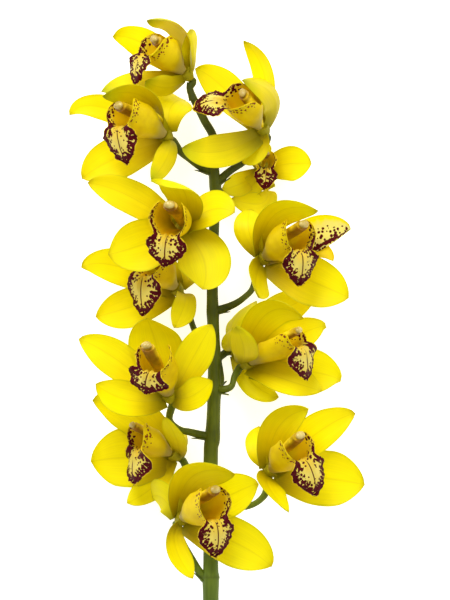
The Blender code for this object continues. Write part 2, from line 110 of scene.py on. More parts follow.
# Column and anther cap, millimetres and shares
COLUMN_RADIUS = 3.6
COLUMN_SQUASH = 0.7
COLUMN_START = 0.6
COLUMN_LIFT = 0.6
COLUMN_ARCH = 1.5
COLUMN_PROFILE = (0.62, 0.85, 1.1, 1.35, 1.3)
COLUMN_RINGS = 17
CAP_RADIUS = 3.9
CAP_SEAT = 0.3
CAP_SHAPE = (0.9, 0.60, 0.5)
CAP_GROOVE = 0.22
CAP_BEAK = 0.18

# Stem, side stalks and the scales at their feet, millimetres
STEM_CUT_Y = -90.0
STEM_RINGS = 260
NODE_SWELL = 0.35
NODE_LONG = 5.0
COLLAR_Y = 12.5
COLLAR_SWELL = 0.6
COLLAR_LONG = 1.5
PEDICEL_RADIUS = 2.2
PEDICEL_SEAT = 0.35
PEDICEL_RINGS = 30
PEDICEL_STRAIGHT = 2.5
PEDICEL_WAVE = 0.12
PEDICEL_FOOT = 0.25
TOPMOST = "01"
BRACT_THICK = 0.7
BRACT_CELLS = (12, 8)
BRACT_ROOT = 2.6
BRACT_LONG = 8.5
BRACT_OFF = 2.7
BRACT_FLARE = 0.9
BRACT_HALF = 2.9
BRACT_CURL = 0.27

# Colours of a tepal from its root to its tip: face, back, and the duller, green-tipped tepals. The dark
# olive at each root is partly its own tint and partly painted shade of the throat.
TEPAL_FACE = ((0.0, "#6A5E00"), (0.10, "#A48800"), (0.22, "#DCC400"), (0.40, "#F8E800"),
              (0.60, "#FFF600"), (0.94, "#FFF600"), (1.0, "#DCC800"))
TEPAL_BACK = ((0.0, "#787400"), (0.14, "#B4AC00"), (0.34, "#F0E800"), (0.85, "#F8F000"), (1.0, "#B0AC00"))
# Duller, green-tipped tepals: partly their own green tinge, partly painted shade for tepals lying in shade
TEPAL_GREEN_AND_SHADED = ((0.0, "#666000"), (0.14, "#9A8E00"), (0.40, "#E2D200"), (0.72, "#EEE000"),
               (0.90, "#C8C804"), (1.0, "#86940C"))
GREEN_AND_SHADED_TEPALS = (("01", "dorsal"), ("01", "sepal_l"), ("01", "sepal_r"), ("02", "dorsal"),
                ("02", "sepal_r"), ("03", "dorsal"), ("03", "sepal_l"))
MAROON = "#560512"

# Cells of the dot pattern to a metre, so dots are about 2.3 mm apart
DOTS_TO_METRE = 430.0

# Stage: the table's width and how far under the petals it lies, metres, how brightly it and the sky shine by
# themselves, and what the lamps are aimed at
TABLE_WIDE = 6.0
TABLE_DROP = 0.0005
WHITE = "#FFFFFF"
FLOOR_GLOW = 0.62
SKY = 0.62
LAMP_AIM = (0, 0, 0.04)


@dataclass
class Tepal:
    """Blade through mid to tip; side is its half width at mid, cup its hollow."""
    name: str
    mid: tuple
    tip: tuple
    side: tuple
    cup: float = 0.2


@dataclass
class Bloom:
    name: str
    throat: tuple
    cap: tuple
    fold: tuple
    lip_tip: tuple
    tepals: tuple
    pedicel: tuple = ()
    size: float = 1.0
    lip_wide: float = 1.0
    lobe: float = 1.0


BLOOMS = (
    Bloom("01", throat=(-26, 332, 4), cap=(-17, 18, 16), fold=(-25, 8, 16), lip_tip=(-30, -10, 18),
          pedicel=((-20, 314, 0), (-22, 321, 0)),
          lip_wide=0.75, tepals=(
              Tepal("dorsal", mid=(-3, 25, 4), tip=(-23, 31, 16), side=(3, 2, 13), cup=0.25),
              Tepal("petal_l", mid=(-26, 18, -10), tip=(-45, 22, -2), side=(-2, -9, 0), cup=0.15),
              Tepal("petal_r", mid=(5, 10, -2), tip=(4, 26, 6), side=(4, -1, -8)),
              Tepal("sepal_l", mid=(-28, -7, 0), tip=(-52, -13, 4), side=(1, -6, 6)),
              Tepal("sepal_r", mid=(-11, -10, 6), tip=(-24, -7, 14), side=(1, 6, 5)),)),
    Bloom("02", throat=(-39, 292, 10), cap=(-26, 16, 28), fold=(-27, 2, 28), lip_tip=(-22, -20, 26),
          pedicel=((-8, 268, 0), (-16, 272, 1), (-22, 276, 2), (-28, 281, 2)),
          tepals=(
              Tepal("dorsal", mid=(-12, 22, 16), tip=(-37, 22, 32), side=(3, -5, -8), cup=0.3),
              Tepal("petal_l", mid=(-39, 17, 0), tip=(-59, 12, 0), side=(0, -8, 0), cup=0.15),
              Tepal("petal_r", mid=(5, 18, -8), tip=(14, 22, -20), side=(10, -6, 5), cup=0.15),
              Tepal("sepal_l", mid=(-31, -16, 4), tip=(-51, -28, 4), side=(5, -12, 0)),
              Tepal("sepal_r", mid=(3, -13, 11), tip=(-7, -30, 24), side=(5, 1, -5)),)),
    Bloom("03", throat=(23, 297, 4), cap=(-11, 19, 18), fold=(-25, 14, 18), lip_tip=(-43, 10, 16),
          pedicel=((-7, 260, 0), (3, 269, 0), (11, 274, -2), (18, 280, -5), (25, 286, -8)),
          lip_wide=0.95, tepals=(
              Tepal("dorsal", mid=(7, 17, 4), tip=(-12, 28, 20), side=(5, 2, -10), cup=0.3),
              Tepal("petal_l", mid=(-25, 26, -12), tip=(-42, 37, -8), side=(-7, -8, 0), cup=0.15),
              Tepal("petal_u", mid=(2, 32, -12), tip=(-11, 55, -10), side=(6, 2, 5), cup=0.15),
              Tepal("sepal_l", mid=(-26, -16, 10), tip=(-50, -14, 14), side=(0, -10, 2)),
              Tepal("sepal_r", mid=(-1, -13, -1), tip=(-12, -23, -2), side=(6, -2, 2), cup=0.15),)),
    Bloom("04", throat=(24, 272, -18), cap=(2, 8, 14), fold=(2, -2, 15), lip_tip=(1, -15, 13),
          pedicel=((-6, 259, 0), (0, 252, -12), (6, 250, -22), (14, 252, -27), (21, 261, -29)),
          size=0.55, lobe=1.05, tepals=(
              Tepal("dorsal", mid=(-3, 11, -8), tip=(-1, 20, -11), side=(8, -2, 0)),
              Tepal("petal_r", mid=(15, 2, 0), tip=(31, 2, 4), side=(1, -10.5, 0), cup=0.15),
              Tepal("petal_l", mid=(-15, -11, 4), tip=(-26, -14, 8), side=(2, -7, 0), cup=0.15),
              Tepal("sepal_l", mid=(1, -22, -1), tip=(-20, -20, 4), side=(1, -7, 0)),
              Tepal("sepal_r", mid=(-6, -11, 1), tip=(-11, -17, 0), side=(5, -4, 0), cup=0.1),)),
    Bloom("05", throat=(-27, 234, 18), cap=(-7, 12, 28), fold=(-9, -8, 28), lip_tip=(-10, -26, 24),
          pedicel=((-8, 210, 0), (-14, 218, 3), (-20, 224, 4)),
          tepals=(
              Tepal("dorsal", mid=(0, 22, 16), tip=(-19, 27, 30), side=(12, -3, 4), cup=0.3),
              Tepal("petal_l", mid=(-34, 19, 4), tip=(-59, 27, 4), side=(-2, -10, 0), cup=0.15),
              Tepal("petal_r", mid=(18, 10, 10), tip=(33, 8, 18), side=(-1, -11, 4), cup=0.15),
              Tepal("sepal_l", mid=(-28, -13, 4), tip=(-46, -18, 8), side=(4, -15, 0)),
              Tepal("sepal_r", mid=(14, -22, 6), tip=(13, -40, 10), side=(16, 2, 0)),)),
    Bloom("06", throat=(26, 215, 4), cap=(22, 19, 30), fold=(21, 2, 30), lip_tip=(20, -19, 28),
          pedicel=((-8, 180, 0), (4, 184, 0), (12, 189, 0), (18, 196, -4)),
          tepals=(
              Tepal("dorsal", mid=(6, 26, 18), tip=(32, 28, 38), side=(-3, 6, 8), cup=0.3),
              Tepal("petal_l", mid=(-11, 16, 0), tip=(-10, 30, -10), side=(8, -2, 3), cup=0.15),
              Tepal("petal_r", mid=(33, 15, 10), tip=(53, 17, 16), side=(0, -10.5, 0), cup=0.15),
              Tepal("sepal_r", mid=(32, -17, 4), tip=(52, -26, 6), side=(5, 14, 0)),
              Tepal("sepal_l", mid=(-6, -14, 10), tip=(-5, -26, 22), side=(-6, 6, 8)),)),
    Bloom("07", throat=(-32, 196, -12), cap=(-15, 18, 18), fold=(-19, 6, 20), lip_tip=(-19, -19, 18),
          pedicel=((-9, 155, 0), (-16, 162, -3), (-20, 170, -8), (-23, 179, -14)),
          lip_wide=1.12, lobe=0.78, tepals=(
              Tepal("dorsal", mid=(-9, 15, 4), tip=(-22, 22, 14), side=(6, 6, 0), cup=0.25),
              Tepal("petal_l", mid=(-37, 13, 4), tip=(-59, 12, 6), side=(0, -11, 0), cup=0.15),
              Tepal("petal_r", mid=(10, 9, -8), tip=(16, 19, -21), side=(6, -4, 0), cup=0.15),
              Tepal("sepal_l", mid=(-31, -14, 3), tip=(-50, -19, 7), side=(2, -12, 0)),
              Tepal("sepal_r", mid=(7, -9, 8), tip=(0, -26, 16), side=(7, -2, -3)),)),
    Bloom("08", throat=(16, 149, 0), cap=(29, 19, 26), fold=(32, 8, 25), lip_tip=(35, -12, 24),
          pedicel=((-7, 131, 0), (-1, 131, 3), (4, 133, 3), (6, 139, 0)),
          size=0.8, lip_wide=1.35, lobe=0.85, tepals=(
              Tepal("dorsal", mid=(11, 30, 16), tip=(33, 27, 30), side=(-4, 8, 6), cup=0.3),
              Tepal("petal_l", mid=(-4, 9, 22), tip=(-9, 22, 36), side=(7, 1, 5), cup=0.1),
              Tepal("petal_r", mid=(34, 18, 2), tip=(48, 21, 2), side=(2, -10, 0), cup=0.15),
              Tepal("sepal_l", mid=(21, -11, 6), tip=(45, -19, 10), side=(-1, -9, 6), cup=0.25),
              Tepal("sepal_r", mid=(40, -7, 0), tip=(57, -13, 2), side=(5, 14, 0)),)),
    Bloom("13", throat=(10, 156, -16), cap=(15, 3, -4), fold=(14, -3, -4), lip_tip=(10, -13, -3),
          pedicel=((-7, 131, 0), (-3, 136, -3), (-3, 143, -7), (-4, 150, -10)),
          size=0.5, tepals=(
              Tepal("dorsal", mid=(-4, 17, 10), tip=(10, 31, 6), side=(5, 1, 9)),
              Tepal("petal_l", mid=(-7, 3, 15), tip=(-5, 14, 24), side=(2, 2, 5)),
              Tepal("petal_r", mid=(20, 21, 2), tip=(48, 35, 2), side=(3, -10, 0), cup=0.15),
              Tepal("sepal_l", mid=(8, -22, 8), tip=(24, -30, 10), side=(-5, -5, 2)),
              Tepal("sepal_r", mid=(9, 6, -11), tip=(22, 12, -17), side=(2, 6, 2), cup=0.1),)),
    Bloom("09", throat=(-36, 129, 18), cap=(-12, 29, 28), fold=(-11, 13, 28), lip_tip=(-13, 0, 24),
          pedicel=((-10, 101, 0), (-22, 104, 2), (-29, 106, 3), (-35, 112, 3)),
          lip_wide=1.1, tepals=(
              Tepal("dorsal", mid=(-8, 32, 0), tip=(-13, 47, 14), side=(16, -2, 0), cup=0.25),
              Tepal("petal_l", mid=(-35, 23, 0), tip=(-56, 34, 0), side=(-2, -11, 0), cup=0.15),
              Tepal("petal_r", mid=(18, 26, 6), tip=(28, 43, 8), side=(9, -6, 0), cup=0.15),
              Tepal("sepal_l", mid=(-25, -4, 4), tip=(-45, 6, 10), side=(-2, -10, 4)),
              Tepal("sepal_r", mid=(14, -2, 6), tip=(28, 8, 12), side=(4, -8, 3)),)),
    Bloom("10", throat=(-34, 91, -6), cap=(-23, 17, 14), fold=(-21, 1, 16), lip_tip=(-23, -20, 16),
          pedicel=((-9, 62, 0), (-17, 72, 0), (-23, 79, -5)),
          size=0.8, lip_wide=1.4, tepals=(
              Tepal("dorsal", mid=(-25, 24, -4), tip=(-50, 33, 0), side=(-3, -12, 0)),
              Tepal("petal_l", mid=(-32, -4, -6), tip=(-51, -6, 0), side=(0, -18, 0), cup=0.15),
              Tepal("petal_r", mid=(3, 10, 18), tip=(-4, 23, 30), side=(6, -1, 4), cup=0.1),
              Tepal("sepal_r", mid=(7, 4, -12), tip=(4, 14, -27), side=(2, 0, 7), cup=0.15),
              Tepal("sepal_l", mid=(-12, -22, -3), tip=(-28, -32, 2), side=(4, -7, 5)),)),
    Bloom("11", throat=(30, 81, 6), cap=(16, 21, 28), fold=(20, 6, 28), lip_tip=(27, -16, 26),
          pedicel=((-9, 61, 0), (-1, 58, 2), (7, 57, 2), (14, 57, 1), (21, 60, -2), (26, 66, -6)),
          lip_wide=1.05, lobe=0.88, tepals=(
              Tepal("dorsal", mid=(4, 27, 14), tip=(22, 38, 28), side=(-4, 8, 5), cup=0.25),
              Tepal("petal_l", mid=(-9, 12, -6), tip=(-9, 26, -18), side=(6, -2, 4), cup=0.15),
              Tepal("petal_r", mid=(31, 25, 6), tip=(52, 35, 8), side=(3, -11, 0), cup=0.15),
              Tepal("sepal_r", mid=(34, -6, 0), tip=(58, -10, 2), side=(2, -17, 0)),
              Tepal("sepal_l", mid=(-2, -11, 14), tip=(10, -26, 24), side=(-8, 5, 3)),)),
    Bloom("12", throat=(-26, 51, 16), cap=(19, 18, 30), fold=(20, -2, 30), lip_tip=(20, -24, 26),
          pedicel=((-11, 9, 0), (-17, 17, 0), (-22, 26, 0), (-28, 37, 0)),
          tepals=(
              Tepal("dorsal", mid=(6, 26, 14), tip=(32, 28, 34), side=(-4, 8, 8), cup=0.3),
              Tepal("petal_l", mid=(-13, 12, -5), tip=(-20, 12, -17), side=(-2, 10, 2), cup=0.12),
              Tepal("petal_r", mid=(33, 16, 4), tip=(47, 21, 8), side=(1, -13, 0), cup=0.15),
              Tepal("sepal_r", mid=(35, -17, 4), tip=(55, -31, 2), side=(8, 12, 0)),
              Tepal("sepal_l", mid=(-5, -18, 2), tip=(6, -38, 6), side=(6, 2, -4)),)),
)

# Scape from the cut end to the topmost flower: x, y, z, radius
SCAPE = (
    (-9, STEM_CUT_Y, 0, 5.2), (-9, 0, 0, 5.0), (-9, 25, 0, 4.8), (-9, 88, 0, 4.6),
    (-8, 100, 0, 4.6), (-7, 125, 0, 4.2), (-7, 156, 0, 3.9), (-8, 194, 0, 3.6),
    (-7, 230, 0, 3.3), (-6, 255, 0, 3.2), (-7, 270, 0, 3.1), (-7, 289, 0, 2.7),
    (-13, 301, 0, 2.6), (-19, 313, 0, 2.4), (-22, 320, 0, 2.3), (-22, 325, 0, 2.2),
)


# The odd petal of bloom 06, coloured as a lip on one half, and the small gold lobe below it
ODD_PETAL = ("06", "petal_r")
ODD_LOBE = Tepal("odd_lobe", mid=(28, 5, 8), tip=(42, -3, 12), side=(2.5, 5.5, 0), cup=0.1)


# Lengths and directions

def vec(p):
    return np.array(p, dtype=float)


def unit(v):
    return v / np.linalg.norm(v)


def smooth(x):
    """Eases from 0 to 1 and stays there."""
    x = min(max(x, 0.0), 1.0)
    return x * x * (3 - 2 * x)


def bloom_frame(bloom):
    """Right across the flower, up away from the lip, forward along the column."""
    forward = unit(vec(bloom.cap))
    down = vec(bloom.lip_tip)
    up = -unit(down - forward * (down @ forward))
    return np.cross(forward, up), up, forward


def run_along(path):
    """Distance from a path's start to each of its points."""
    return np.r_[0, np.cumsum(np.linalg.norm(np.diff(path[:, :3], axis=0), axis=1))]


def points_at(path, run, want):
    """Points of a path at the wanted places on its run."""
    return np.stack([np.interp(want, run, path[:, k]) for k in range(path.shape[1])], axis=1)


def curve_through(points, count):
    """Catmull-Rom curve through the points, evenly spaced along its length."""
    pts = np.array(points, dtype=float)
    ext = np.vstack([2 * pts[0] - pts[1], pts, 2 * pts[-1] - pts[-2]])
    fine = []
    for k in range(len(pts) - 1):
        a, b, c, d = ext[k:k + 4]
        for s in np.linspace(0, 1, 16, endpoint=False):
            fine.append(0.5 * (2 * b + (c - a) * s + (2 * a - 5 * b + 4 * c - d) * s ** 2
                               + (3 * b - a - 3 * c + d) * s ** 3))
    fine.append(pts[-1])
    fine = np.array(fine)
    run = run_along(fine)
    return points_at(fine, run, np.linspace(0, run[-1], count))


def tangents(path):
    t = np.gradient(path[:, :3], axis=0)
    return t / np.linalg.norm(t, axis=1)[:, None]


def ripple(seed, x, y, z=0.0):
    """Smooth unevenness between -1 and 1, the same on every run."""
    return noise.noise(Vector((x + 17.3 * seed, y - 5.1 * seed, z + 3.7 * seed)))


# Shapes of the flower's parts, as grids of points in the stem's own millimetres

def blade_share(t):
    """Half width along a tepal as a share of its widest."""
    if t < TEPAL_WIDEST:
        grown = math.sin(math.pi / 2 * t / TEPAL_WIDEST) ** 1.2
        return TEPAL_BASE_SHARE + (1 - TEPAL_BASE_SHARE) * grown
    return max(0.0, 1 - ((t - TEPAL_WIDEST) / (1 - TEPAL_WIDEST)) ** 2.1) ** 0.74


def tepal_grid(bloom, tepal, seed):
    """Middle surface of a tepal, from its root in the receptacle to its pointed tip."""
    along_n, across_n = TEPAL_CELLS
    throat = vec(bloom.throat)
    forward = bloom_frame(bloom)[2]
    mid = vec(tepal.mid)
    tip = vec(tepal.tip)
    side = vec(tepal.side)
    outward = mid - forward * (mid @ forward)
    base = unit(outward) * TEPAL_ROOT[0] + forward * TEPAL_ROOT[1]
    control = 2 * mid - (base + tip) / 2
    s = np.linspace(0, 1, TEPAL_SAMPLES)[:, None]
    fine = (1 - s) ** 2 * base + 2 * s * (1 - s) * control + s ** 2 * tip
    run = run_along(fine)
    spine = points_at(fine, run, np.linspace(0, run[-1], along_n + 1))
    along = tangents(spine)
    inside = forward * HOLLOW_FACES - mid
    flip = 1 if np.cross(along[len(along) // 2], side) @ inside > 0 else -1
    rows = []
    for k, (point, run_dir) in enumerate(zip(spine, along)):
        t = k / along_n
        across = unit(side - run_dir * (side @ run_dir))
        face = np.cross(run_dir, across) * flip
        half = np.linalg.norm(side) * TEPAL_EASE * blade_share(t)
        row = []
        for u in np.linspace(-1, 1, across_n + 1):
            edge = abs(u) ** 3
            lift = tepal.cup * half * (u * u - 0.3)
            lift += TEPAL_RIPPLE * ripple(seed, t * 3.1, u * 1.3) * (0.3 + edge) * smooth(t * 3)
            lift -= TEPAL_MIDRIB * math.exp(-(u * 7) ** 2) * (1 - t)
            wander = TEPAL_EDGE_WANDER * ripple(seed + 9, t * 4.0, math.copysign(1, u))
            reach = u * half * (1 + wander)
            row.append(throat + point + across * reach + face * lift)
        rows.append(row if flip < 0 else row[::-1])
    return np.array(rows)


def lip_spine(bloom):
    """Middle line of the lip, half its rows before the fold and half after, and the run along it."""
    _, up, forward = bloom_frame(bloom)
    fold = vec(bloom.fold)
    tip = vec(bloom.lip_tip)
    claw = forward * LIP_START - up * LIP_DROP
    sac = claw * (1 - SAC_AT) + fold * SAC_AT - up * SAC_SAG * bloom.size
    hang = tip - fold
    bulge = forward - unit(hang) * (forward @ unit(hang))
    knee = fold + hang * KNEE_AT + bulge * TONGUE_BULGE * bloom.size
    fine = curve_through([claw, sac, fold, knee, tip], LIP_SAMPLES)
    run = run_along(fine)
    turn_at = run[np.argmin(np.linalg.norm(fine - fold, axis=1))]
    half_rows = LIP_CELLS[0] // 2 + 1
    want = np.r_[np.linspace(0, turn_at, half_rows), np.linspace(turn_at, run[-1], half_rows)[1:]]
    return points_at(fine, run, want), want


def lip_half(t, lobe, wide):
    """Half width of the flat lip at a share of its length: side lobes, a notch, then the mid lobe."""
    grown = smooth(t / LIP_GROWN)
    tube_half = LIP_CLAW_HALF + (SIDE_LOBE_HALF * lobe - LIP_CLAW_HALF) * grown
    tube_half *= max(0.0, 1 - (max(t - LOBES_FROM, 0) / LOBES_FALL) ** 2.2) ** (1 / 2.2)
    point = max(0.0, 1 - (max(t - POINT_FROM, 0) / POINT_LONG) ** 1.75) ** 0.82
    rise = smooth((t - TONGUE_FROM) / TONGUE_RISE)
    tongue = (NOTCH_HALF * grown + (MID_LOBE_HALF - NOTCH_HALF) * rise) * point
    tongue *= 1 + (wide - 1) * smooth((t - 0.4) / 0.15)
    return (tube_half ** 4 + tongue ** 4) ** 0.25


def lip_roll(t):
    """Curvature of the lip across it, one over millimetres: a tube, then a slightly arched tongue."""
    radius = CLAW_RADIUS + (TUBE_RADIUS - CLAW_RADIUS) * smooth(t / 0.22)
    return (1 - smooth((t - 0.44) / 0.12)) / radius - TONGUE_ARCH * smooth((t - 0.50) / 0.2)


def lip_grid(bloom, seed):
    """Lip from its claw, past the two standing side lobes and two ridges, to the frilled mid lobe."""
    along_n, across_n = LIP_CELLS
    size = bloom.size
    throat = vec(bloom.throat)
    right, _, forward = bloom_frame(bloom)
    spine, run = lip_spine(bloom)
    along = tangents(spine)
    lean = LEAN_TO_CAP * np.linalg.norm(bloom.cap) - LEAN_FROM_FOLD * (vec(bloom.fold) @ forward)
    rows = []
    flat = []
    for k, (point, run_dir) in enumerate(zip(spine, along)):
        t = k / along_n
        across = unit(right - run_dir * (right @ run_dir))
        face = np.cross(across, run_dir)
        half = lip_half(t, bloom.lobe, bloom.lip_wide) * size
        roll = lip_roll(t) / size
        frill = smooth((t - 0.34) / 0.2)
        ridges_run = smooth((t - 0.12) / 0.15) * (1 - smooth((t - 0.62) / 0.16))
        row = []
        for u in np.linspace(-1, 1, across_n + 1):
            w = half * u
            angle = roll * w
            reach = w * (math.sin(angle) / angle if abs(angle) > 1e-6 else 1.0)
            lift = w * ((1 - math.cos(angle)) / angle if abs(angle) > 1e-6 else 0.0)
            edge = max(abs(u) ** 3, smooth((t - 0.88) / 0.12))
            wave = ripple(seed, run[k] * 0.26, u * 2.6) * FRILL_WAVE
            wave += ripple(seed + 4, run[k] * 0.5, u * 5.0) * FRILL_CRIMP
            ridges = math.exp(-((abs(w) - RIDGE_OFF * size) / (RIDGE_HALF * size)) ** 2)
            bump = frill * edge * wave * size + RIDGE_TALL * size * ridges * ridges_run
            out = frill * edge * FRILL_OUT * size * ripple(seed + 2, run[k] * 0.4, u * 3.0)
            inward = across * math.cos(angle) + face * math.sin(angle)
            normal = face * math.cos(angle) - across * math.sin(angle)
            ahead = lean * lift / (1.8 * TUBE_RADIUS * size) * smooth((t - 0.12) / 0.25)
            sway = FRILL_ALONG * frill * edge * ripple(seed + 6, run[k] * 0.4, u * 4.0)
            spot = throat + point + forward * ahead + across * reach + face * lift
            row.append(spot + inward * math.copysign(out, u) + normal * bump + run_dir * sway)
            flat.append((run[k], w))
        rows.append(row)
    return np.array(rows), margin_map(np.array(flat))


def margin_map(flat):
    """For each point of the flat lip: its nearest rim point's place along the rim, and how far off, in cm."""
    ends = flat.reshape(LIP_CELLS[0] + 1, -1, 2)[:, -1, :]
    rim = points_at(ends, np.arange(LIP_CELLS[0] + 1), np.linspace(0, LIP_CELLS[0], RIM_SAMPLES))
    run = run_along(rim)
    mirrored = np.stack([flat[:, 0], np.abs(flat[:, 1])], axis=1)
    gap = np.linalg.norm(mirrored[:, None, :] - rim[None, :, :], axis=2)
    nearest = gap.argmin(axis=1)
    side = np.where(flat[:, 1] < 0, -1, 1)
    return np.stack([(run[nearest] - run[-1]) * side / 10, gap.min(axis=1) / 10], axis=1)


def column_path(bloom, count=5):
    """Middle line of the column, arched from the receptacle to the anther cap."""
    _, up, forward = bloom_frame(bloom)
    end = vec(bloom.cap)
    start = forward * COLUMN_START + up * COLUMN_LIFT
    middle = (start + end) / 2 + up * COLUMN_ARCH
    return curve_through([start, middle, end], count) + vec(bloom.throat)


def bract_grid(bloom):
    """Small pointed scale under a side stalk's foot."""
    start = vec(bloom.pedicel[0])
    outward = unit(vec(bloom.pedicel[1]) - start)
    below = unit(vec((0, -1, 0)) + outward * outward[1])
    across = np.cross(outward, below)
    rows = []
    for t in np.linspace(0, 1, BRACT_CELLS[0] + 1):
        middle = start + outward * (BRACT_ROOT + BRACT_LONG * t) + below * (BRACT_OFF + BRACT_FLARE * t * t)
        half = BRACT_HALF * (1 - t) ** 0.6
        row = []
        for u in np.linspace(-1, 1, BRACT_CELLS[1] + 1):
            row.append(middle + across * half * u - below * BRACT_CURL * half * u * u)
        rows.append(row)
    return np.array(rows)


# Meshes

def clear_selection():
    for obj in bpy.context.selected_objects:
        obj.select_set(False)


def pick(obj):
    """Selects one object alone and makes it the active one."""
    clear_selection()
    obj.select_set(True)
    bpy.context.view_layer.objects.active = obj


def settle(piece, name, node):
    """Names a finished piece, hangs it on the body and hides the imported part it stands for."""
    piece.name = name
    piece.data.name = name
    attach(piece, BODY)
    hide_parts(node)


def apply_all(obj):
    pick(obj)
    for mod in list(obj.modifiers):
        bpy.ops.object.modifier_apply(modifier=mod.name)


def join(objects):
    clear_selection()
    for obj in objects:
        obj.select_set(True)
    bpy.context.view_layer.objects.active = objects[0]
    bpy.ops.object.join()
    return bpy.context.view_layer.objects.active


def smooth_shading(obj):
    pick(obj)
    bpy.ops.object.shade_smooth_by_angle(angle=math.radians(SMOOTH_DEGREES))


def new_grid(along, across):
    """A grid primitive and each of its points' place along and across it."""
    clear_selection()
    bpy.ops.mesh.primitive_grid_add(x_subdivisions=along, y_subdivisions=across, size=2, calc_uvs=True)
    obj = bpy.context.view_layer.objects.active
    spots = np.empty(len(obj.data.vertices) * 3)
    obj.data.vertices.foreach_get("co", spots)
    spots = spots.reshape(-1, 3)
    i = np.rint((spots[:, 0] + 1) / 2 * along).astype(int)
    j = np.rint((spots[:, 1] + 1) / 2 * across).astype(int)
    return obj, i, j


def weld_closed(obj):
    """Merges the points that have come together at a tip or along a seam."""
    weld = obj.modifiers.new("weld", 'WELD')
    weld.merge_threshold = WELD_METRES


def blade(rows, thick, face, back, margin=None):
    """A grid primitive shaped to the rows, closed at the tip, with a thickness that thins to its edge."""
    along = rows.shape[0] - 1
    across = rows.shape[1] - 1
    obj, i, j = new_grid(along, across)
    mesh = obj.data
    mesh.vertices.foreach_set("co", ((rows[i, j] + LAID) * MM).ravel())
    if margin is not None:
        corners = np.empty(len(mesh.loops), dtype=int)
        mesh.loops.foreach_get("vertex_index", corners)
        layer = mesh.uv_layers.new(name="margin", do_init=False)
        layer.data.foreach_set("uv", margin[i * (across + 1) + j][corners].ravel())
        mesh.uv_layers.active_index = 0
    group = obj.vertex_groups.new(name="flesh")
    for k in range(len(mesh.vertices)):
        u = abs(2 * j[k] / across - 1)
        thin = max(u ** 4, smooth((i[k] / along - 0.85) / 0.15))
        group.add([k], 1 - BLADE_THINS * thin, 'REPLACE')
    weld_closed(obj)
    flesh = obj.modifiers.new("flesh", 'SOLIDIFY')
    flesh.thickness = thick * MM
    flesh.offset = 0
    flesh.vertex_group = "flesh"
    flesh.material_offset = 1
    mesh.materials.append(back)
    mesh.materials.append(face)
    apply_all(obj)
    return obj


def tube(path, radii, sides, material, squash=1.0, ref=(0.31, 0.22, 0.92)):
    """A grid primitive rolled round the path and closed at both ends. UV x runs along it, y round it."""
    obj, i, j = new_grid(len(path) - 1, sides)
    mesh = obj.data
    along = tangents(path)
    a = np.cross(along, vec(ref))
    a /= np.linalg.norm(a, axis=1)[:, None]
    b = np.cross(a, along)
    q = 2 * math.pi * j / sides
    r = vec(radii)[i][:, None]
    places = path[i, :3] + a[i] * r * np.cos(q)[:, None] + b[i] * r * squash * np.sin(q)[:, None]
    mesh.vertices.foreach_set("co", ((places + LAID) * MM).ravel())
    mesh.materials.append(material)
    weld_closed(obj)
    apply_all(obj)
    bpy.ops.object.mode_set(mode='EDIT')
    bpy.ops.mesh.select_all(action='DESELECT')
    bpy.ops.mesh.select_non_manifold()
    bpy.ops.mesh.fill_holes(sides=sides + 2)
    bpy.ops.mesh.select_all(action='SELECT')
    bpy.ops.mesh.normals_make_consistent(inside=False)
    bpy.ops.object.mode_set(mode='OBJECT')
    return obj


# Materials

def linear(hex_colour):
    """sRGB hex to the linear colour that shaders take."""
    parts = [int(hex_colour[k:k + 2], 16) / 255 for k in (1, 3, 5)]
    return tuple(p / 12.92 if p <= 0.04045 else ((p + 0.055) / 1.055) ** 2.4 for p in parts) + (1.0,)


def add(tree, kind, *feeds, stops=(), **settings):
    """Adds a shader node and gives back its first working output; the others are on that output's node.

    Feeds fill the node's working sockets in order, and settings are its attributes or sockets by name. An
    output is linked, a number is set, and so is an sRGB hex colour. Stops are the marks of a colour ramp.
    """
    node = tree.nodes.new("ShaderNode" + kind)
    sockets = []
    for key, value in settings.items():
        if key in node.inputs:
            sockets.append((node.inputs[key], value))
        else:
            setattr(node, key, value)
    marks = node.color_ramp.elements if stops else ()
    while len(marks) < len(stops):
        marks.new(0.5)
    for mark, (place, colour) in zip(marks, stops):
        mark.position = place
        mark.color = linear(colour) if isinstance(colour, str) else (colour, colour, colour, 1)
    sockets += zip([socket for socket in node.inputs if socket.enabled], feeds)
    for socket, value in sockets:
        if isinstance(value, bpy.types.NodeSocket):
            tree.links.new(value, socket)
        else:
            socket.default_value = linear(value) if isinstance(value, str) else value
    return next(socket for socket in node.outputs if socket.enabled)


def fresh(name, roughness, gloss=0.5):
    """A new material with its shader. Gloss is how strongly it mirrors: 0.5 is the usual wax or plastic."""
    mat = bpy.data.materials.new(name)
    mat.use_nodes = True
    shader = next(n for n in mat.node_tree.nodes if n.type == 'BSDF_PRINCIPLED')
    shader.inputs["Roughness"].default_value = roughness
    shader.inputs["Specular IOR Level"].default_value = gloss
    return mat, mat.node_tree, shader


def dress(tree, shader, body, relief=None, strength=0.0, deep=0.0004):
    """Gives a shader its colour and its fine relief; strength and deep are the relief's, deep in metres."""
    tree.links.new(body, shader.inputs["Base Color"])
    if relief:
        bump = add(tree, "Bump", Strength=strength, Distance=deep, Height=relief)
        tree.links.new(bump, shader.inputs["Normal"])


def glow_through(tree, shader, colour, share):
    """Thin flesh: part of the light that falls on one face comes out of the other."""
    surface = next(n for n in tree.nodes if n.type == 'OUTPUT_MATERIAL').inputs["Surface"]
    through = add(tree, "BsdfTranslucent", colour)
    tree.links.new(add(tree, "MixShader", share, shader.outputs[0], through), surface)


def off_middle(tree, across):
    """How far from a blade's midline: 0 on it, 1 at either edge."""
    aside = add(tree, "Math", across, 0.5, operation='SUBTRACT')
    aside = add(tree, "Math", aside, operation='ABSOLUTE')
    return add(tree, "Math", aside, 2.0, operation='MULTIPLY')


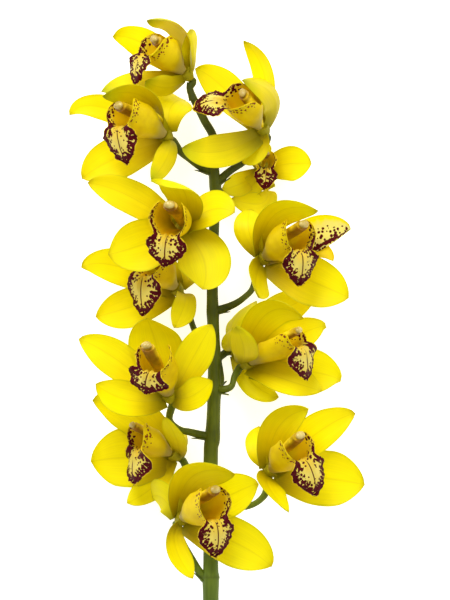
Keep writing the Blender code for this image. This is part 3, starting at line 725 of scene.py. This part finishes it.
def lip_marks(tree, body, along, across, place):
    """Cream ground, maroon dots and a wandering maroon rim on one long half of a petal."""
    wander = add(tree, "TexNoise", place, Scale=330.0, Detail=1.0)
    cells = add(tree, "TexVoronoi", place, Scale=DOTS_TO_METRE)
    reach = add(tree, "ValToRGB", along, stops=((0.34, 0.0), (0.46, 1.0)))
    shift = add(tree, "Math", wander, 0.5, operation='SUBTRACT')
    shift = add(tree, "Math", shift, 0.22, operation='MULTIPLY')
    side = add(tree, "Math", across, shift, operation='ADD')
    cream = add(tree, "ValToRGB", side, stops=((0.12, 0.0), (0.28, 1.0)))
    cream = add(tree, "Math", reach, cream, operation='MULTIPLY')
    body = add(tree, "Mix", cream, body, "#F0E684", data_type='RGBA')
    band = add(tree, "ValToRGB", side, stops=((0.80, 0.0), (0.82, 1.0), (0.94, 1.0), (0.96, 0.0)))
    rim = add(tree, "Math", reach, band, operation='MULTIPLY')
    dot_size = add(tree, "ValToRGB", side, stops=((0.25, 0.0), (0.45, 0.46)))
    dot_size = add(tree, "Math", reach, dot_size, operation='MULTIPLY')
    dots = add(tree, "Math", cells, dot_size, operation='LESS_THAN')
    marks = add(tree, "Math", rim, dots, operation='MAXIMUM', use_clamp=True)
    return add(tree, "Mix", marks, body, MAROON, data_type='RGBA')


def tepal_material(name, stops, lip_like=False):
    """Waxy petal: strong lemon yellow, faintly veined along it, olive gold at its edges and at its root; the
    root's olive is partly its own tint and partly painted shade of the throat.

    Other stops give its back, a little duller, and the tepals whose tips stay green and whose duller
    yellow is partly painted shade. The lip-like one has half of it cream with maroon spots and rim, as on
    the odd petal of one flower.
    """
    mat, tree, shader = fresh(name, roughness=0.48, gloss=0.16)
    uv = add(tree, "UVMap")
    along = add(tree, "SeparateXYZ", uv)
    across = along.node.outputs[1]
    place = add(tree, "TexCoord").node.outputs["Object"]
    # Clouds of gold about 36 mm across, and some 34 veins over the width
    cloud = add(tree, "TexNoise", place, Scale=28.0, Detail=3.0)
    veins_at = add(tree, "Mapping", uv, Scale=(1.2, 34.0, 1.0))
    veins = add(tree, "TexNoise", veins_at, Scale=1.0, Detail=2.0)
    body = add(tree, "ValToRGB", along, stops=stops)
    tint = add(tree, "ValToRGB", cloud, stops=((0.3, "#F2D400"), (0.7, "#FFF800")))
    body = add(tree, "Mix", 0.30, body, tint, data_type='RGBA')
    off_centre = off_middle(tree, across)
    edge = add(tree, "ValToRGB", off_centre, stops=((0.90, 0.0), (1.0, 0.45)))
    body = add(tree, "Mix", edge, body, "#C2C400", data_type='RGBA')
    midrib = add(tree, "ValToRGB", off_centre, stops=((0.0, 0.22), (0.06, 0.0)))
    body = add(tree, "Mix", midrib, body, "#C8B400", data_type='RGBA')
    line = add(tree, "ValToRGB", veins, stops=((0.42, 0.90), (0.60, 1.0)))
    body = add(tree, "Mix", 0.5, body, line, data_type='RGBA', blend_type='MULTIPLY')
    if lip_like:
        body = lip_marks(tree, body, along, across, place)
    dress(tree, shader, body, veins, strength=0.25)
    glow_through(tree, shader, body, 0.38)
    return mat


def lip_material():
    """Cream lip: yellow rim, broken maroon band with blotches running inwards, dots, a line down its middle.

    Two golden ridges run beside the line, and the throat is gold with small flecks.
    """
    mat, tree, shader = fresh("spotted_cream_lip", roughness=0.45, gloss=0.12)
    along = add(tree, "SeparateXYZ", add(tree, "UVMap", uv_map="UVMap"))
    off_centre = off_middle(tree, along.node.outputs[1])
    # The margin map gives the run along the rim and the distance from it, both in centimetres
    margin = add(tree, "UVMap", uv_map="margin")
    rim = add(tree, "SeparateXYZ", margin).node.outputs[1]
    place = add(tree, "TexCoord").node.outputs["Object"]
    # Blotches about 3 mm across, streaked towards the middle in steps of about 1 mm along the rim
    radial_at = add(tree, "Mapping", margin, Scale=(3.6, 3.4, 1.0))
    radial = add(tree, "TexNoise", radial_at, Scale=1.0, Detail=1.0)
    streaks_at = add(tree, "Mapping", margin, Scale=(9.0, 3.0, 1.0))
    streaks = add(tree, "TexNoise", streaks_at, Scale=1.0, Detail=0.0)
    radial = add(tree, "Math", radial, 0.7, operation='MULTIPLY')
    streaks = add(tree, "Math", streaks, 0.3, operation='MULTIPLY')
    radial = add(tree, "Math", radial, streaks, operation='ADD')
    fine = add(tree, "TexNoise", place, Scale=900.0, Detail=1.0)
    cells = add(tree, "TexVoronoi", place, Scale=DOTS_TO_METRE)
    in_mid = add(tree, "ValToRGB", along, stops=((0.38, 0.0), (0.46, 0.55), (0.50, 1.0)))
    # How much of the surface is maroon at each distance from the rim
    level = add(tree, "ValToRGB", rim, stops=(
        (0.0, 0.2), (0.02, 0.3), (0.035, 0.85), (0.10, 0.80), (0.17, 0.58), (0.24, 0.56), (0.38, 0.54),
        (0.55, 0.46), (0.75, 0.28)))
    more_at_tip = add(tree, "ValToRGB", along, stops=((0.80, 0.0), (0.92, 0.02)))
    level = add(tree, "Math", level, more_at_tip, operation='ADD')
    less_at_fold = add(tree, "ValToRGB", along, stops=((0.36, 0.10), (0.52, 0.12), (0.60, 0.0)))
    level = add(tree, "Math", level, less_at_fold, operation='SUBTRACT')
    blots = add(tree, "Math", radial, level, operation='LESS_THAN')
    dot_size = add(tree, "ValToRGB", rim, stops=((0.1, 0.46), (0.5, 0.42), (0.8, 0.26), (0.95, 0.0)))
    dots = add(tree, "Math", cells, dot_size, operation='LESS_THAN')
    line = add(tree, "ValToRGB", off_centre, stops=((0.0, 1.0), (0.03, 1.0), (0.05, 0.0)))
    line_run = add(tree, "ValToRGB", along, stops=((0.36, 0.0), (0.44, 1.0), (0.92, 1.0), (0.95, 0.0)))
    line = add(tree, "Math", line, line_run, operation='MULTIPLY')
    ragged = add(tree, "Math", in_mid, fine, operation='GREATER_THAN')
    blots = add(tree, "Math", blots, ragged, operation='MULTIPLY')
    dots = add(tree, "Math", dots, in_mid, operation='MULTIPLY')
    maroon = add(tree, "Math", blots, dots, operation='MAXIMUM')
    maroon = add(tree, "Math", maroon, line, operation='MAXIMUM')
    front = add(tree, "ValToRGB", along, stops=((0.26, 0.0), (0.38, 1.0)))
    inside = add(tree, "ValToRGB", rim, stops=((0.03, 0.0), (0.06, 0.50), (0.40, 0.38), (0.80, 0.0)))
    fleck_size = add(tree, "Math", front, inside, operation='MULTIPLY')
    flecks = add(tree, "Math", cells, fleck_size, operation='LESS_THAN')
    maroon = add(tree, "Math", maroon, flecks, operation='MAXIMUM', use_clamp=True)
    # Ground: dark olive at the claw as painted shade deep in the throat, brightening to gold, then cream on
    # the mid lobe
    ground = add(tree, "ValToRGB", along, stops=(
        (0.0, "#9A8408"), (0.10, "#D2BC0A"), (0.22, "#F6DC0A"), (0.40, "#FFE41A"), (0.48, "#ECD84C"),
        (0.70, "#F2E474"), (1.0, "#F4DA44")))
    ridge = add(tree, "ValToRGB", off_centre, stops=((0.10, 0.35), (0.16, 0.95), (0.24, 0.9), (0.36, 0.0)))
    ridge_run = add(tree, "ValToRGB", along, stops=((0.42, 1.0), (0.68, 0.0)))
    ridge = add(tree, "Math", ridge, ridge_run, operation='MULTIPLY')
    ground = add(tree, "Mix", ridge, ground, "#F2C80E", data_type='RGBA')
    yellow_rim = add(tree, "ValToRGB", rim, stops=((0.0, 1.0), (0.07, 0.0)))
    ground = add(tree, "Mix", yellow_rim, ground, "#F6D820", data_type='RGBA')
    body = add(tree, "Mix", maroon, ground, MAROON, data_type='RGBA')
    dress(tree, shader, body, fine, strength=0.2)
    glow_through(tree, shader, body, 0.36)
    return mat


def lip_back_material():
    """Outside of the lip: gold with a few brown flecks, duller where it narrows to its claw: the claw's own
    beige, and olive before it as painted shade of the throat.
    """
    mat, tree, shader = fresh("golden_lip_back", roughness=0.5, gloss=0.16)
    along = add(tree, "SeparateXYZ", add(tree, "UVMap", uv_map="UVMap"))
    rim = add(tree, "SeparateXYZ", add(tree, "UVMap", uv_map="margin")).node.outputs[1]
    place = add(tree, "TexCoord").node.outputs["Object"]
    # Grain about 7 mm across, flecks about 2 mm apart
    grain = add(tree, "TexNoise", place, Scale=150.0, Detail=2.0)
    cells = add(tree, "TexVoronoi", place, Scale=520.0)
    # Dark olive towards the claw is painted shade of the throat; the beige mixed over the claw is its own
    # colour
    body = add(tree, "ValToRGB", along, stops=(
        (0.0, "#8A7808"), (0.10, "#B8A404"), (0.22, "#ECD002"), (0.6, "#FAE208"), (1.0, "#F4DC30")))
    tint = add(tree, "ValToRGB", grain, stops=((0.35, "#E2C400"), (0.65, "#FFEA00")))
    body = add(tree, "Mix", 0.4, body, tint, data_type='RGBA')
    claw = add(tree, "ValToRGB", along, stops=((0.06, 1.0), (0.17, 0.0)))
    body = add(tree, "Mix", claw, body, "#C2AE58", data_type='RGBA')
    front = add(tree, "ValToRGB", along, stops=((0.28, 0.0), (0.37, 1.0), (0.47, 1.0), (0.52, 0.0)))
    inside = add(tree, "ValToRGB", rim, stops=((0.03, 0.0), (0.06, 0.46), (0.45, 0.34), (0.70, 0.0)))
    fleck_size = add(tree, "Math", front, inside, operation='MULTIPLY')
    flecks = add(tree, "Math", cells, fleck_size, operation='LESS_THAN')
    body = add(tree, "Mix", flecks, body, "#8A3A0C", data_type='RGBA')
    dress(tree, shader, body)
    glow_through(tree, shader, body, 0.3)
    return mat


def receptacle_material():
    """Dull olive knob that the petals grow from, mottled about 5 mm across: partly its own olive, partly
    painted shade among the tepals' roots.
    """
    mat, tree, shader = fresh("olive_receptacle", roughness=0.6, gloss=0.15)
    place = add(tree, "TexCoord").node.outputs["Object"]
    grain = add(tree, "TexNoise", place, Scale=200.0, Detail=2.0)
    dress(tree, shader, add(tree, "ValToRGB", grain, stops=((0.3, "#857C06"), (0.7, "#ACA010"))))
    return mat


def column_material():
    """Waxy column: golden, brown at its tip and brown beneath, the underside partly its own colour and partly
    painted shadow, with fine darker specks about 3 mm across.
    """
    mat, tree, shader = fresh("golden_column", roughness=0.4, gloss=0.25)
    along = add(tree, "SeparateXYZ", add(tree, "UVMap"))
    around = along.node.outputs[1]
    place = add(tree, "TexCoord").node.outputs["Object"]
    grain = add(tree, "TexNoise", place, Scale=300.0, Detail=3.0)
    # Brown beneath, growing towards the tip: partly the column's own colour, partly painted shadow under it
    under = add(tree, "ValToRGB", around, stops=((0.50, 0.0), (0.60, 1.0), (0.90, 1.0), (1.0, 0.0)))
    reach = add(tree, "ValToRGB", along, stops=((0.3, 0.15), (0.58, 0.25), (0.78, 0.85), (1.0, 0.95)))
    brown = add(tree, "Math", under, reach, operation='MULTIPLY')
    body = add(tree, "Mix", brown, "#F8DA1A", "#8E5E10", data_type='RGBA')
    tip = add(tree, "ValToRGB", along, stops=((0.88, 0.0), (0.96, 0.55)))
    body = add(tree, "Mix", tip, body, "#A06A14", data_type='RGBA')
    specks = add(tree, "ValToRGB", grain, stops=((0.50, 1.0), (0.64, 0.72)))
    body = add(tree, "Mix", 0.8, body, specks, data_type='RGBA', blend_type='MULTIPLY')
    dress(tree, shader, body)
    return mat


def cap_material():
    """Anther cap: smooth wax the tan of old ivory, clouded about 4 mm across."""
    mat, tree, shader = fresh("ivory_anther_cap", roughness=0.3)
    place = add(tree, "TexCoord").node.outputs["Object"]
    grain = add(tree, "TexNoise", place, Scale=260.0, Detail=2.0)
    dress(tree, shader, add(tree, "ValToRGB", grain, stops=((0.35, "#AE923C"), (0.65, "#CEB866"))))
    return mat


def stem_material():
    """Fleshy green scape with fine long ribs: dark at the top, paler towards its cut end, one brown ring."""
    mat, tree, shader = fresh("fleshy_green_stem", roughness=0.5, gloss=0.18)
    place = add(tree, "TexCoord").node.outputs["Object"]
    height = add(tree, "SeparateXYZ", place).node.outputs[1]
    # Ribs about 1 mm apart and 33 mm long, clouds about 17 mm across
    ribs_at = add(tree, "Mapping", place, Scale=(900.0, 30.0, 900.0))
    ribs = add(tree, "TexNoise", ribs_at, Scale=1.0, Detail=3.0)
    cloud = add(tree, "TexNoise", place, Scale=60.0, Detail=3.0)
    span = add(tree, "Math", height, HALF_LONG * MM, operation='ADD')
    span = add(tree, "Math", span, 2 * HALF_LONG * MM, operation='DIVIDE')
    body = add(tree, "ValToRGB", span, stops=(
        (0.0, "#688238"), (0.27, "#647C24"), (0.36, "#626D06"), (0.55, "#4E5604"), (0.7, "#3E4403"),
        (1.0, "#33330A")))
    clouded = add(tree, "ValToRGB", cloud, stops=((0.3, "#30380A"), (0.7, "#77841C")))
    body = add(tree, "Mix", 0.35, body, clouded, data_type='RGBA')
    ring = add(tree, "ValToRGB", span, stops=((0.2235, 0.0), (0.2260, 0.32), (0.2275, 0.32), (0.2300, 0.0)))
    body = add(tree, "Mix", ring, body, "#3A3610", data_type='RGBA')
    ribbed = add(tree, "ValToRGB", ribs, stops=((0.35, 0.72), (0.6, 1.0)))
    body = add(tree, "Mix", 0.6, body, ribbed, data_type='RGBA', blend_type='MULTIPLY')
    dress(tree, shader, body, ribs, strength=0.3, deep=0.0005)
    return mat


# Pieces

def make_tepals(bloom, seed, skins):
    """Three sepals and two petals on the knob that they grow from."""
    _, up, forward = bloom_frame(bloom)
    blades = []
    for k, tepal in enumerate(bloom.tepals):
        which = (bloom.name, tepal.name)
        # Listed tepals take the duller green-tipped ramp: partly their own green tinge, partly painted shade
        face = skins["tinged_and_shaded" if which in GREEN_AND_SHADED_TEPALS else "petal"]
        back = skins["tinged_and_shaded" if which in GREEN_AND_SHADED_TEPALS else "petal_back"]
        if which == ODD_PETAL:
            face = skins["odd_petal"]
            gold = skins["lip_back"]
            blades.append(blade(tepal_grid(bloom, ODD_LOBE, seed + 7), TEPAL_THICK, gold, gold))
        blades.append(blade(tepal_grid(bloom, tepal, seed + k), TEPAL_THICK, face, back))
    foot, waist, top = vec(bloom.throat) + forward * vec(RECEPTACLE_AT)[:, None]
    path = np.vstack([foot + (waist - foot) * s for s in (0, 0.5)] +
                     [waist + (top - waist) * s for s in (0, 0.5, 1)])
    seat = tube(path, RECEPTACLE_RADII, sides=20, material=skins["seat"], ref=up)
    piece = join(blades + [seat])
    smooth_shading(piece)
    settle(piece, f"tepals_{bloom.name}", f"bloom_{bloom.name}_tepals")


def make_lip(bloom, seed, skins):
    """The lip, spotted inside and plain outside."""
    rows, margin = lip_grid(bloom, seed)
    piece = blade(rows, LIP_THICK, skins["lip"], skins["lip_back"], margin=margin)
    smooth_shading(piece)
    settle(piece, f"lip_{bloom.name}", f"bloom_{bloom.name}_lip")


def make_column(bloom, skins):
    """The column, wider than deep and thickest near its cap."""
    up = bloom_frame(bloom)[1]
    path = column_path(bloom, COLUMN_RINGS)
    share = np.linspace(0, 1, COLUMN_RINGS)
    radii = COLUMN_RADIUS * bloom.size * np.interp(share, (0, 0.25, 0.5, 0.75, 1), COLUMN_PROFILE)
    piece = tube(path, radii, sides=24, material=skins["column"], squash=COLUMN_SQUASH, ref=up)
    smooth_shading(piece)
    settle(piece, f"column_{bloom.name}", f"bloom_{bloom.name}_column")


def make_cap(bloom, skins):
    """A sphere primitive drawn out to a cap with a groove down its crown and a small beak."""
    right = bloom_frame(bloom)[0]
    path = column_path(bloom)
    end_dir = unit(path[-1] - path[-2])
    centre = path[-1] + end_dir * (CAP_RADIUS * CAP_SHAPE[2] * bloom.size + CAP_SEAT)
    axes = (right, np.cross(end_dir, right), end_dir)
    radii = vec(CAP_SHAPE) * CAP_RADIUS * bloom.size
    clear_selection()
    bpy.ops.mesh.primitive_uv_sphere_add(segments=28, ring_count=16, radius=1)
    piece = bpy.context.view_layer.objects.active
    for vert in piece.data.vertices:
        x, y, z = vert.co
        groove = 1 - CAP_GROOVE * math.exp(-(x * 5) ** 2) * smooth((z + 0.2) / 0.6)
        beak = 1 + CAP_BEAK * smooth(-y) * smooth((z + 0.5) / 0.8)
        local = (x * radii[0], y * radii[1] * beak, z * radii[2] * groove)
        vert.co = (centre + sum(local[k] * axes[k] for k in range(3)) + LAID) * MM
    piece.data.materials.append(skins["cap"])
    smooth_shading(piece)
    settle(piece, f"anther_cap_{bloom.name}", f"bloom_{bloom.name}_anther_cap")


def make_stem(material):
    """The scape, a little swollen at each side stalk and at its ring, with the side stalks and scales."""
    scape = curve_through(SCAPE, STEM_RINGS)
    radii = scape[:, 3].copy()
    for k, point in enumerate(scape):
        for bloom in BLOOMS:
            if bloom.name != TOPMOST:
                off = point[1] - bloom.pedicel[0][1]
                radii[k] += NODE_SWELL * math.exp(-(off / NODE_LONG) ** 2)
        radii[k] += COLLAR_SWELL * math.exp(-((point[1] - COLLAR_Y) / COLLAR_LONG) ** 2)
    parts = [tube(scape, radii, sides=28, material=material)]
    for bloom in BLOOMS:
        forward = bloom_frame(bloom)[2]
        end = vec(bloom.throat) + forward * (RECEPTACLE_AT[0] - PEDICEL_SEAT)
        stalk = curve_through(list(bloom.pedicel) + [tuple(end - forward * PEDICEL_STRAIGHT)], PEDICEL_RINGS)
        path = np.vstack([stalk, end])
        share = np.linspace(0, 1, len(path)) * 9
        widths = PEDICEL_RADIUS * (1.0 + PEDICEL_WAVE * np.sin(share) + PEDICEL_FOOT * np.exp(-share ** 2))
        parts.append(tube(path, widths, sides=18, material=material))
        if bloom.name != TOPMOST:
            parts.append(blade(bract_grid(bloom), BRACT_THICK, material, material))
    piece = join(parts)
    smooth_shading(piece)
    settle(piece, "stem_and_pedicels", "stem")


# Stage

def make_floor():
    clear_selection()
    bpy.ops.mesh.primitive_plane_add(size=TABLE_WIDE, location=(0, 0, -TABLE_DROP))
    floor = bpy.context.view_layer.objects.active
    floor.name = "floor"
    mat, _, shader = fresh("white_table", roughness=0.9, gloss=0.0)
    shader.inputs["Base Color"].default_value = linear(WHITE)
    shader.inputs["Emission Color"].default_value = linear(WHITE)
    shader.inputs["Emission Strength"].default_value = FLOOR_GLOW
    floor.data.materials.append(mat)


def add_lamp(name, place, size, power):
    data = bpy.data.lights.new(name, 'AREA')
    data.shape = 'DISK'
    data.size = size
    data.energy = power
    lamp = bpy.data.objects.new(name, data)
    bpy.context.scene.collection.objects.link(lamp)
    lamp.location = place
    lamp.rotation_euler = (Vector(LAMP_AIM) - Vector(place)).to_track_quat('-Z', 'Y').to_euler()


def make_lights():
    add_lamp("window_above", place=(-0.5, 1.7, 1.5), size=1.3, power=42)
    add_lamp("window_right", place=(1.4, 0.4, 1.7), size=1.8, power=9)
    world = bpy.data.worlds.new("studio")
    world.use_nodes = True
    sky = world.node_tree.nodes["Background"]
    sky.inputs[0].default_value = linear(WHITE)
    sky.inputs[1].default_value = SKY
    bpy.context.scene.world = world


def make_camera():
    data = bpy.data.cameras.new("camera")
    camera = bpy.data.objects.new("camera", data)
    bpy.context.scene.collection.objects.link(camera)
    aim = (PHOTO_CENTRE + LAID) * MM
    camera.location = (aim[0], aim[1], aim[2] + CAMERA_HIGH_MM * MM)
    camera.rotation_euler = (0, 0, 0)
    data.sensor_fit = 'VERTICAL'
    data.sensor_height = 24.0
    data.lens = data.sensor_height * CAMERA_HIGH_MM / (PHOTO_HIGH * MM_PER_PIXEL)
    data.clip_end = 20
    bpy.context.scene.camera = camera


make_camera()
bpy.context.scene.view_settings.view_transform = 'Standard'
skins = {
    "petal": tepal_material("waxy_yellow_tepal", TEPAL_FACE),
    "petal_back": tepal_material("greenish_tepal_back", TEPAL_BACK),
    "tinged_and_shaded": tepal_material("green_tipped_tepal_in_painted_shade", TEPAL_GREEN_AND_SHADED),
    "odd_petal": tepal_material("half_spotted_petal", TEPAL_FACE, lip_like=True),
    "lip": lip_material(),
    "lip_back": lip_back_material(),
    "column": column_material(),
    "cap": cap_material(),
    "seat": receptacle_material(),
}
make_stem(stem_material())
for number, bloom in enumerate(BLOOMS):
    make_tepals(bloom, number * 11, skins)
    make_lip(bloom, number * 11 + 5, skins)
    make_column(bloom, skins)
    make_cap(bloom, skins)
make_floor()
make_lights()
